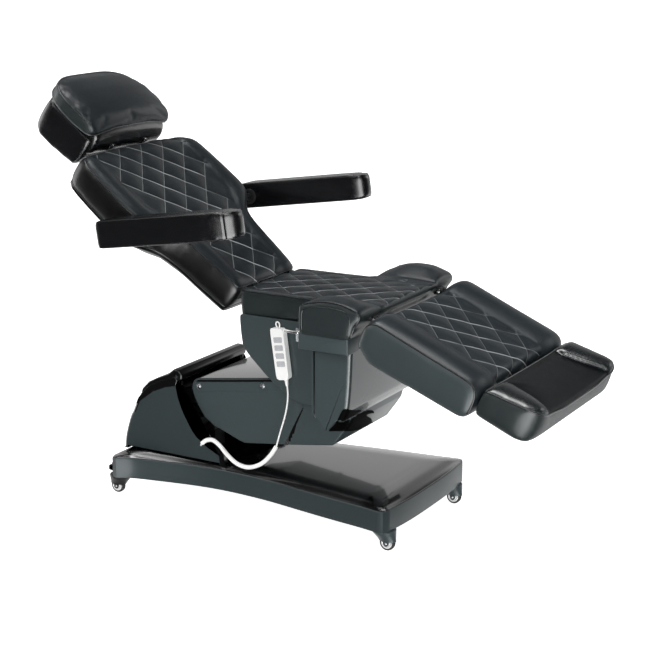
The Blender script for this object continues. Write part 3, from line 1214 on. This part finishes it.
# arm cover and its front cap
co = [[-209, 417], [54, 456], [120, 466], [300, 440], [340, 400], [345, 385], [336, 352], [320, 328], [296, 295], [286, 281], [275, 273], [125, 250], [-42, 228], [-60, 232], [-115, 252], [-160, 268], [-193, 290], [-216, 322], [-232, 352], [-240, 379], [-236, 400], [-226, 412]]
cof = fillet(co, 14, 5)
V, F = prism(cof, -172, 172, 5, 4)
for name, reg, mat, node, slot_ in (("arm_cover_shell", [[-400, 540], [-400, 100], [103.4, 100], [103.4, 240], [129.4, 285], [172.4, 378], [175.4, 540]], "body_plastic", "arm_cover", "body_plastic"),
                                    ("arm_front_shell", [[500, 540], [500, 100], [104.6, 100], [104.6, 240], [130.6, 285], [173.6, 378], [176.6, 540]], "body_plastic", "arm_front_cap", "gloss_dark")):
    a = temp(V, F)
    a = boolean(a, temp(*prism(reg, -300, 300)), "INTERSECT")
    if node == "arm_cover":
        a = boolean(a, temp(*prism([[-300, 300], [-205, 360], [-196, 404], [-300, 404]], -150, 150)), "DIFFERENCE")
    me = a.data
    bpy.data.objects.remove(a)
    me.transform(ROW)
    me.name = name
    ob = link(bpy.data.objects.new(name, me))
    me.materials.append(MAT[mat])
    me.materials.append(MAT["gloss_top"])
    me.shade_smooth()
    me.set_sharp_from_angle(angle=math.radians(30))
    for p in me.polygons:
        p.material_index = 1 if p.normal.z > 0.75 else 0
    done(ob, "lift_arm", [node], slot_)
for s in (-1, 1):
    tag = "l" if s > 0 else "r"
    band = [[-224, 404], [-214, 410], [54, 450], [118, 459.5], [171, 452.5], [169, 414], [118, 421], [54, 412], [-219, 371], [-227, 384]]
    lo, hi = (-173.2, -170) if s < 0 else (170, 173.2)
    V, F = prism(fillet(band, 6), lo, hi, 1.4 if s < 0 else 0, 3, r1=1.4 if s > 0 else 0)
    ob = make("arm_band_" + tag, V, F, ROW, MAT["body_plastic"], sharp=40)
    flip_out(ob)
    done(ob, "lift_arm", (), "body_plastic")
    # dark trim along the top of the band, and the slot where the front cap meets the cover
    lo, hi = (-175, -169) if s < 0 else (169, 175)
    V, F = join_vf(prism([[-222, 405], [-214, 411.5], [54, 451.5], [118, 461], [171, 454], [171, 447], [118, 454], [54, 444.5], [-212, 405]], lo, hi, 1.2, 2),
                   prism([[104, 246], [116, 248], [123, 262], [129, 262], [129, 274], [135, 276], [135, 288], [141, 290], [150, 320], [176, 378], [173, 379], [143, 322], [128, 292], [116, 268]], (-172.9 if s < 0 else 171), (-171 if s < 0 else 172.9), 0, 1))
    ob = make("arm_trim_" + tag, V, F, ROW, MAT["gloss_black"], sharp=40)
    flip_out(ob)
    done(ob, "lift_arm", (), "gloss_black")
    parts = []
    for bx, bz in ((-212, 392), (28, 427)):
        prof = [[0, 0.1], [0, 9.5], [1.2, 9.5], [2.4, 8.6], [2.4, 7.2], [5.4, 7.0], [6.2, 6.2], [6.4, 3.6], [4.2, 3.2], [4.2, 0.1]]
        prof = [[d * s, r] for d, r in prof]
        parts.append(lathe(prof, (bx, s * 172.6, bz), "y", 24))
    V, F = join_vf(*parts)
    ob = make("cover_bolts_" + tag, V, F, ROW, MAT["bolt_steel"], sharp=40)
    flip_out(ob)
    done(ob, "lift_arm", ["cover_bolts"] if s < 0 else (), "bolt_steel")

# side panels and front shroud of the seat
po = [[-45, 652], [-44, 625], [-41, 590], [-35, 552], [-20, 532], [-5, 517], [50, 467], [80, 444], [112, 425], [140, 408], [175, 396], [264.5, 395], [264.5, 652]]
for s in (-1, 1):
    tag = "l" if s > 0 else "r"
    lo, hi = (-186, -180) if s < 0 else (180, 186)
    V, F = prism(fillet(po, 12), lo, hi, 2.2, 3)
    ob = make("side_moulding_" + tag, V, F, ROW, MAT["body_plastic"], sharp=35)
    flip_out(ob)
    done(ob, "seat", ["side_panel_" + tag], "body_plastic")
so = [[266, 612], [266, 400], [288, 372], [317, 346], [345, 368], [372, 395], [384, 418], [390, 438], [396, 500], [399, 560], [401, 612]]
low_curve = spline([[266, 402], [286, 374], [304, 354], [320, 348], [345, 368], [370, 393], [384, 418], [390, 438], [396, 500], [399, 560], [401, 612]], 4)
sp = clean([[266, 612]] + [list(p) for p in low_curve])
n = len(sp)
skip = {n - 1, 0} | {i for i in range(n) if sp[i][0] < 368 and sp[i][1] < 396 and i > 0}
sh = skin("shroud", sp, -280, 280, 14, 5, skip, MAT["body_plastic"], (330, 0, 520), seg=6, sharp=40)
sh.data.materials.append(MAT["gloss_dark"])
for p in sh.data.polygons:
    p.material_index = 1 if p.normal.x > 0.45 else 0
# leave the middle of its underside and rear open, as the cheeks stand alone there
done(sh, "seat", ["front_shroud"], "body_plastic")
# return flange behind each cheek, with the vertical gap against the side panel
for s in (-1, 1):
    tag = "l" if s > 0 else "r"
    fl = [[266.6, 405], [266.6, 611], [272, 611], [272, 405]]
    lo, hi = (-278, -187) if s < 0 else (187, 278)
    V, F = prism(fl, lo, hi, 0)
    ob = make("shroud_flange_" + tag, V, F, ROW, MAT["body_plastic"], sharp=30)
    flip_out(ob)
    done(ob, "seat", (), "body_plastic")

# plain apron below the wings, and the ragged dark opening under the shroud
for s in (-1, 1):
    lo, hi = (-304.6, -204) if s < 0 else (204, 304.6)
    V, F = prism(fillet([[236.5, 606], [236.5, 657], [403, 657], [403.6, 606]], 4), lo, hi, 3, 3)
    ob = make("seat_apron_" + ("l" if s > 0 else "r"), V, F, ROW, MAT["body_plastic"], sharp=40)
    flip_out(ob)
    done(ob, "seat", (), "body_plastic")
eye = Vector((2.60786 + DX, -4.23885, 1.85857))
seen = [BVHTree.FromPolygons([v.co.copy() for v in o.data.vertices], [list(p.vertices) for p in o.data.polygons]) for o in (sh, bpy.data.objects["arm_front_shell"])]
rows = [(-283, 437, -210, 418), (-289, 436, -110, 387), (-295, 434, -100, 381), (-298, 432, -97, 377), (-301, 430, -100, 375), (-304, 428, -135, 381), (-306, 425, -147, 382), (-309, 423, -141, 377), (-312, 421, -128, 370), (-315, 419, -116, 363), (-318, 416, -115, 360), (-321, 414, -109, 355), (-324, 412, -112, 353), (-330, 410, -106, 348), (-333, 408, -109, 346), (-336, 406, -115, 344), (-342, 404, -118, 342), (-348, 403, -134, 343), (-353, 402, -147, 344), (-359, 400, -166, 346), (-365, 399, -184, 348), (-368, 397, -209, 352), (-371, 394, -234, 356)]
V, F, at, on = [], [[], []], {}, []
for i, (ya, za, yb, zb) in enumerate(rows):
    for j in range(19):
        k = j / 18
        d = (ROW @ Vector((380, ya + (yb - ya) * k, za + (zb - za) * k)) - eye).normalized()
        hits = [(t_.ray_cast(eye, d), n_) for n_, t_ in enumerate(seen)]
        hits = [q for q in hits if q[0][0] is not None]
        if hits:
            h, which = min(hits, key=lambda q: q[0][3])
            on.append(which)
            p = h[0] + h[1] * (0.0015 if h[1].dot(d) < 0 else -0.0015)
            at[i, j] = len(V)
            V.append(tuple(ROW.inverted() @ p))
for i in range(len(rows) - 1):
    for j in range(18):
        q = [(i, j), (i + 1, j), (i + 1, j + 1), (i, j + 1)]
        if all(c_ in at for c_ in q):
            P4 = [Vector(V[at[c_]]) for c_ in q]
            kinds = {on[at[c_]] for c_ in q}
            if len(kinds) == 1 and max((P4[n_] - P4[n_ - 1]).length for n_ in range(4)) < 45:
                F[kinds.pop()].append(tuple(at[c_] for c_ in q))
for n_, (name, body) in enumerate((("shroud_opening", "seat"), ("arm_opening", "lift_arm"))):
    if F[n_]:
        used = sorted({i for f in F[n_] for i in f})
        ix = {v: k for k, v in enumerate(used)}
        ob = make(name, np.array([V[i] for i in used]), [tuple(ix[i] for i in f) for f in F[n_]], ROW, MAT["opening_black"], sharp=None)
        done(ob, body, (), "black_plastic")

# moulded shell behind the backrest
depth = [[-655, 3], [-648, 16], [-634, 32], [-610, 46], [-560, 66], [-470, 80], [-390, 75], [-330, 53], [-270, 28], [-180, 19], [-60, 19], [-14, 17], [-6, 6]]
xs = np.concatenate([[-655, -652, -646, -638, -628], np.linspace(-615, -30, 60), [-20, -13, -8, -6]])
nt = 49
V = []
for x in xs:
    w = float(np.interp(-x, [p[0] for p in BH], [p[1] for p in BH])) - 6
    if x < -640:
        w = min(w, 255 - (-640 - x) * 2.0)
    dp = np.interp(x, [p[0] for p in depth], [p[1] for p in depth])
    e = np.interp(x, [-655, -330, -230], [2.2, 3.0, 12.0])
    V.append((x, -w, -100))
    for t_ in np.sin(np.linspace(-math.pi / 2, math.pi / 2, nt - 2)):
        V.append((x, w * t_, -106 - dp * (1 - abs(t_) ** e)))
    V.append((x, w, -100))
F = []
for i in range(len(xs) - 1):
    for j in range(nt - 1):
        F.append((i * nt + j, (i + 1) * nt + j, (i + 1) * nt + j + 1, i * nt + j + 1))
V = np.array(V)
up = V.copy()
up[:, 2] = -99
k = len(V)
ring = [i * nt for i in range(len(xs))] + [(len(xs) - 1) * nt + j for j in range(1, nt)] + [i * nt + nt - 1 for i in range(len(xs) - 2, -1, -1)] + [j for j in range(nt - 2, 0, -1)]
V = np.concatenate([V, [[V[i][0], V[i][1], -99] for i in ring]])
m_ = len(ring)
F += [(ring[i], ring[(i + 1) % m_], k + (i + 1) % m_, k + i) for i in range(m_)]
F.append(tuple(k + i for i in range(m_)))
ob = make("back_moulding", V, F, BACK, MAT["visor_black"], sharp=50)
flip_out(ob)
done(ob, "backrest", ["back_shell"], "gloss_black")

# ---------------------------------------------------------------- casters
for tag, x, y, d in (("fl", 479, 229, 1), ("fr", 479, -229, 1), ("rl", -479, 229, -1), ("rr", -479, -229, -1)):
    wx = x + d * 22
    parts = [lathe([[52, 0.1], [52, 14], [54, 17.5], [64, 18], [67.4, 17.5], [67.4, 0.1]], (x, y, 0), "z", 32)]
    for s in (-1, 1):
        fo = fillet([[-17, 62], [17, 62], [d * 22 + 11, 30], [d * 22 + 9, 20], [d * 22 + 3, 14], [d * 22 - 3, 14], [d * 22 - 9, 20], [d * 22 - 9, 26]] if d > 0 else [[-17, 62], [17, 62], [d * 22 + 9, 26], [d * 22 + 9, 20], [d * 22 + 3, 14], [d * 22 - 3, 14], [d * 22 - 9, 20], [d * 22 - 11, 30]], 5)
        lo, hi = (y + 10.2, y + 13.6) if s > 0 else (y - 13.6, y - 10.2)
        v, f = prism([[x + p[0], p[1]] for p in fo], lo, hi, 1.2, 3)
        parts.append((v, f))
    hd = fillet([[-17, 54], [17, 54], [18, 62], [14, 66], [-14, 66], [-18, 62]], 4)
    parts.append(prism([[x + p[0], p[1]] for p in hd], y - 13, y + 13, 3, 3))
    # tapered skirt round the wheel
    rings, seg = [], 36
    for cx, rx, ry, z in ((d * 6, 34, 34, 67.6), (d * 6, 38, 38, 66.8), (d * 8, 39, 38, 64), (d * 13, 35, 30, 52), (d * 19, 30, 20, 38), (d * 22, 28, 17, 30), (d * 22, 27, 15.8, 30), (d * 19, 28, 17, 40), (d * 12, 30, 26, 60)):
        rings.append([(x + cx + rx * math.cos(2 * math.pi * i / seg), y + ry * math.sin(2 * math.pi * i / seg), z) for i in range(seg)])
    v = np.array([p for r_ in rings for p in r_])
    f = [(k_ * seg + i, k_ * seg + (i + 1) % seg, (k_ + 1) * seg + (i + 1) % seg, (k_ + 1) * seg + i) for k_ in range(len(rings) - 1) for i in range(seg)]
    f.append(tuple(range(seg - 1, -1, -1)))
    f.append(tuple((len(rings) - 1) * seg + i for i in range(seg)))
    parts.append((v, f))
    V, F = join_vf(*parts)
    ob = make("caster_housing_" + tag, V, F, ROW, MAT["body_plastic" if d > 0 else "black_plastic"], sharp=40)
    flip_out(ob)
    done(ob, "fork_" + tag, ["caster_fork_" + tag], "black_plastic")
    prof = [[-9, 19.0], [-8.6, 21.4], [-6.5, 23.4], [-3, 24], [3, 24], [6.5, 23.4], [8.6, 21.4], [9, 19.0], [8.2, 17.6], [-8.2, 17.6], [-9, 19.0]]
    V, F = lathe(prof, (wx, y, 24), "y", 64)
    ob = make("caster_tyre_" + tag, V, F, ROW, MAT["wheel_tread"], sharp=50)
    flip_out(ob)
    done(ob, "wheel_" + tag, ["caster_wheel_" + tag], "wheel_tread")
    parts = []
    for s in (-1, 1):
        prof = [[3 * s, 0.1], [8.8 * s, 0.1], [9.4 * s, 3.5], [8.4 * s, 6.2], [6.4 * s, 8.0], [6.2 * s, 12.4], [8.6 * s, 14.6], [8.9 * s, 16.4], [8.0 * s, 17.7], [3 * s, 17.8]]
        parts.append(lathe(prof, (wx, y, 24), "y", 48))
    V, F = join_vf(*parts)
    ob = make("caster_hub_" + tag, V, F, ROW, MAT["hub_white"], sharp=50)
    flip_out(ob)
    done(ob, "wheel_" + tag, (), "wheel_tread")
    V, F = join_vf(*[lathe([[0, 0.1], [0, 4.6], [s * 1.6, 4.4], [s * 2.6, 3.0], [s * 2.8, 0.1]], (wx, y + s * 13.4, 24), "y", 24) for s in (-1, 1)])
    ob = make("caster_axle_" + tag, V, F, ROW, MAT["bolt_steel"], sharp=50)
    flip_out(ob)
    done(ob, "fork_" + tag, (), "bolt_steel")

# power entry with its collar
V, F = join_vf(prism(fillet([[-514, 86], [-498, 82], [-494, 82], [-494, 104], [-498, 104], [-514, 100]], 3), -262, -232, 2, 3), lathe([[0, 0.1], [0, 4.2], [6, 4.2], [7, 5.4], [12, 5.4], [12, 0.1]], (-505, -247, 93), "z", 20))
ob = make("power_collar", V, F, ROW, MAT["black_plastic"], sharp=40)
flip_out(ob)
done(ob, "base", (), "black_plastic")

# ---------------------------------------------------------------- hand control
case = [[-20, 0], [17, -3], [22, -10], [23, -20], [22, -148], [20, -158], [12, -162], [-12, -162], [-20, -158], [-22, -148], [-23, -18], [-22, -6]]
a = temp(*prism(fillet(case, 5), -11, 11))
for i in range(4):
    a = boolean(a, temp(*prism(fillet([[-15.5, -46 - i * 25], [15.5, -46 - i * 25], [15.5, -28 - i * 25], [-15.5, -28 - i * 25]], 3), -14, -5.6)), "DIFFERENCE")
me = a.data
bpy.data.objects.remove(a)
me.transform(REMOTE)
me.name = "hand_control"
ob = link(bpy.data.objects.new("hand_control", me))
me.materials.append(MAT["remote_white"])
me.shade_smooth()
me.set_sharp_from_angle(angle=math.radians(35))
m = ob.modifiers.new("b", "BEVEL")
m.width, m.segments, m.limit_method, m.angle_limit = 0.0012, 2, "ANGLE", math.radians(50)
done(ob, "seat", ["remote_body"], "remote_white")
parts = [lathe([[-184, 0.1], [-184, 3.2], [-180, 4.2], [-166, 5.6], [-160, 8.5], [-156, 8.5], [-156, 0.1]], (6, 0, 0), "z", 24),
         tube([[-2, 0, 0], [-5, 0, 6], [-5.5, 0, 12], [-3, 0, 16.5], [2, 0, 17.5], [6.5, 0, 14], [7.5, 0, 8], [6, 0, 0]], 2.2, 8)]
V, F = join_vf(*parts)
ob = make("hand_control_collar", V, F, REMOTE, MAT["remote_white"], sharp=40)
flip_out(ob)
done(ob, "seat", (), "remote_white")
for i, name in enumerate(("lift", "back", "leg", "tilt")):
    V, F = prism(fillet([[-14.8, -45.2 - i * 25], [14.8, -45.2 - i * 25], [14.8, -28.8 - i * 25], [-14.8, -28.8 - i * 25]], 3), -11.4, -8.8, 0.8, 3, r1=0)
    # dished rocker face with a raised mark at each end
    V = V.copy()
    V[:, 1] += 0.5 * np.cos((V[:, 2] + 37 + i * 25) / 8.2 * math.pi / 2) * (V[:, 1] < -10)
    parts = [(V, F)]
    for k in (-1, 1):
        zc = -37 - i * 25 + k * 4.6
        tri = [[-3.2, zc - k * 1.4], [3.2, zc - k * 1.4], [0, zc + k * 2.0]]
        parts.append(prism(tri if k > 0 else tri[::-1], -11.9, -11.0, 0.2, 1, r1=0))
    V, F = join_vf(*parts)
    ob = make("rocker_key_" + name, V, F, REMOTE, MAT["remote_key"], sharp=35)
    flip_out(ob)
    done(ob, "rocker_" + name, ["rocker_" + name], "remote_key")
# white clip on the hook's arm
V, F = join_vf(prism(fillet([[186, 596], [193, 592], [199, 606], [204, 624], [198, 630], [190, 618]], 4), -200, -190, 2.5, 3),
               tube([[128, -206, 628], [150, -206, 626], [172, -205, 625], [184, -200, 628], [190, -194, 632]], 2.6, 8))
ob = make("hook_clip", V, F, ROW, MAT["remote_white"], sharp=40)
flip_out(ob)
done(ob, "seat", (), "remote_white")
# plate behind the hook
V, F = prism(fillet([[162, 594], [194, 594], [194, 632], [162, 632]], 5), -189.5, -186, 1.2, 3, r1=0)
ob = make("hook_plate", V, F, ROW, MAT["bright_steel"], sharp=40)
flip_out(ob)
done(ob, "seat", (), "bright_steel")

# ---------------------------------------------------------------- cord
lead = resample(spline([[138, -206, 452], [140, -206, 425], [137, -206, 390], [128, -206, 350], [110, -205, 295], [96, -204, 250]], 8), 5)
up, dn = lead[lead[:, 2] >= 338], lead[lead[:, 2] <= 343]
V, F = tube(up, 2.4, 12)
ob = make("cord_lead_upper", V, F, ROW, MAT["cord_white"], sharp=None)
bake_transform(ob)
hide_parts("remote_cord")
V, F = tube(dn, 2.4, 12)
ob = make("cord_lead_lower", V, F, ROW, MAT["cord_white"], sharp=None)
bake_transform(ob)


def coil(path, R, wire, pitch):
    """Spring of wire wound round a path."""
    P = resample(path, pitch / 10)
    T = np.gradient(P, axis=0)
    T /= np.linalg.norm(T, axis=1, keepdims=True)
    side = np.cross(T, np.array([0, 1.0, 0]))
    side /= np.linalg.norm(side, axis=1, keepdims=True)
    other = np.cross(T, side)
    a = np.arange(len(P)) * 2 * math.pi / 10
    C = P + R * (np.cos(a)[:, None] * side + np.sin(a)[:, None] * other)
    return tube(C, wire, 6)


cp = spline([[96, -204, 250], [78, -205, 222], [52, -207, 193], [22, -208, 174], [-12, -209, 165], [-50, -208, 171], [-84, -207, 192], [-112, -206, 217], [-140, -204, 231], [-166, -203, 226], [-184, -201, 212]], 10)
cut_at = int(np.argmin(np.abs(cp[:, 0] - 20)))
V, F = coil(cp[:cut_at + 1], 5.2, 1.9, 4.2)
ob = make("cord_coil_front", V, F, ROW, MAT["cord_white"], sharp=None)
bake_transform(ob)
V, F = coil(cp[cut_at:], 5.2, 1.9, 4.2)
ob = make("cord_coil_rear", V, F, ROW, MAT["cord_white"], sharp=None)
done(ob, "base", (), "cord_white")
V, F = tube(spline([[-180, -202, 215], [-190, -198, 206], [-196, -190, 200], [-200, -180, 196]], 6), 2.4, 12)
ob = make("cord_tail", V, F, ROW, MAT["cord_white"], sharp=None)
done(ob, "base", (), "cord_white")

# ---------------------------------------------------------------- CAD nodes that stay in view
SLOT_OF = {}
for s in frame["record"].get("subparts", []):
    SLOT_OF[s.get("node")] = s.get("material_slot")
for name, ob in frame["nodes"].items():
    if ob.hide_render:
        continue
    ob.data.materials.clear()
    ob.data.materials.append(MAT["body_plastic"] if name == "seat_pan" else MAT.get(SLOT_OF.get(name), MAT["frame_steel"]))
    ob.data.shade_smooth()
    ob.data.set_sharp_from_angle(angle=math.radians(32))
    m = ob.modifiers.new("weld", "WELD")
    m.merge_threshold = 0.00002
    m = ob.modifiers.new("bevel", "BEVEL")
    m.width, m.segments, m.limit_method, m.angle_limit = 0.0012, 2, "ANGLE", math.radians(32)

# ---------------------------------------------------------------- studio
me = bpy.data.meshes.new("floor")
me.from_pydata([(-30, -30, 0), (30, -30, 0), (30, 30, 0), (-30, 30, 0)], [], [(0, 1, 2, 3)])
floor = link(bpy.data.objects.new("floor", me))
floor.visible_glossy = floor.visible_diffuse = False
t = Tree("floor")
P = objco(t)
d = t.n("BsdfDiffuse", None, Color=(0.8, 0.8, 0.8), Roughness=0.9)
e = t.n("Emission", None, Color=(1, 1, 1), Strength=0.93)
s_ = t.n("AddShader")
t.t.links.new(d.outputs[0], s_.inputs[0])
t.t.links.new(e.outputs[0], s_.inputs[1])
t.t.links.new(s_.outputs[0], t.out.inputs[0])
me.materials.append(t.mat)
floor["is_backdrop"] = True

world = bpy.data.worlds.new("studio")
scene.world = world
world.use_nodes = True
wt = world.node_tree
wt.nodes.clear()


class WTree(Tree):
    def __init__(self, t):
        self.t = t


w = WTree(wt)
out = wt.nodes.new("ShaderNodeOutputWorld")
D = w.n("NewGeometry").outputs["Incoming"]
sep = w.n("SeparateXYZ", None, Vector=w.n("VectorMath", {"operation": "SCALE"}, i0=D, Scale=-1.0).outputs[0])
# camera-aligned horizontal axes: b towards the backdrop, r to the right
ca, sa = math.cos(math.radians(30.09)), math.sin(math.radians(30.09))
dx, dy, dz = sep.outputs[0], sep.outputs[1], sep.outputs[2]
bk = w.m("ADD", w.m("MULTIPLY", dx, -sa), w.m("MULTIPLY", dy, ca))
rt = w.m("ADD", w.m("MULTIPLY", dx, ca), w.m("MULTIPLY", dy, sa))


def softbox(x, y, z, inner, outer, strength):
    """Round light seen only in reflections, towards (x, y, z)."""
    v = Vector((x, y, z)).normalized()
    d = w.m("ADD", w.m("ADD", w.m("MULTIPLY", dx, v.x), w.m("MULTIPLY", dy, v.y)), w.m("MULTIPLY", dz, v.z))
    return w.m("MULTIPLY", w.ramp(d, math.cos(math.radians(outer)), math.cos(math.radians(inner))), strength)


wall = w.m("MULTIPLY", w.m("MULTIPLY", w.ramp(bk, 0.10, 0.45), w.ramp(dz, 0.42, 0.56, 1.0, 0.0)), 0.55)
ground = w.m("MULTIPLY", w.m("MULTIPLY", w.ramp(bk, 0.05, 0.40), w.ramp(dz, -0.12, -0.02, 1.0, 0.0)), 0.60)
shine = w.m("ADD", w.m("ADD", wall, ground), 0.045)
for box in ((-1.0, 0.02, 0.0, 9, 22, 1.3), (0.50, -0.77, -0.40, 22, 36, 6.5), (-0.195, 0.11, 0.985, 8, 24, 6.5), (0.30, -0.72, 0.63, 8, 20, 4.5), (0.42, 0.83, 0.36, 6, 16, 1.2)):
    shine = w.m("ADD", shine, softbox(*box))
ambient = w.m("ADD", 0.84, w.m("MULTIPLY", dz, 0.08))
lp = w.n("LightPath")
cam_ray, dif_ray = lp.outputs["Is Camera Ray"], lp.outputs["Is Diffuse Ray"]
rest = w.m("SUBTRACT", 1.0, w.m("MAXIMUM", cam_ray, dif_ray))
strength = w.m("ADD", cam_ray, w.m("ADD", w.m("MULTIPLY", dif_ray, ambient), w.m("MULTIPLY", rest, shine)))
bg = w.n("Background", None, Color=(1, 1, 1), Strength=strength)
wt.links.new(bg.outputs[0], out.inputs[0])
world.cycles.sampling_method = "NONE"


def area(name, loc, target, size, power):
    L = bpy.data.lights.new(name, "AREA")
    L.shape, L.size, L.energy = "DISK", size, power
    o = link(bpy.data.objects.new(name, L))
    o.location = loc
    o.rotation_euler = (Vector(target) - Vector(loc)).to_track_quat("-Z", "Y").to_euler()
    o.visible_camera = False
    return o


area("key", (-2.2, -2.2, 3.2), (0, 0, 0.6), 1.6, 24)
area("fill", (3.2, -2.6, 2.0), (0.2, 0, 0.5), 2.0, 10)
area("rim", (-0.5, 3.0, 2.6), (0, 0, 0.7), 1.6, 14).visible_glossy = False

cam = bpy.data.cameras.new("camera")
cam.lens, cam.sensor_width, cam.sensor_fit = 89.56, 36, "HORIZONTAL"
co_ = link(bpy.data.objects.new("camera", cam))
co_.location = (2.60786 + DX, -4.23885, 1.85857)
co_.rotation_euler = (Vector((0.04343 + DX, 0.18680, 0.54433)) - co_.location).to_track_quat("-Z", "Y").to_euler()
scene.camera = co_
scene.view_settings.view_transform = "Standard"
scene.view_settings.look = "None"

lo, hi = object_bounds()
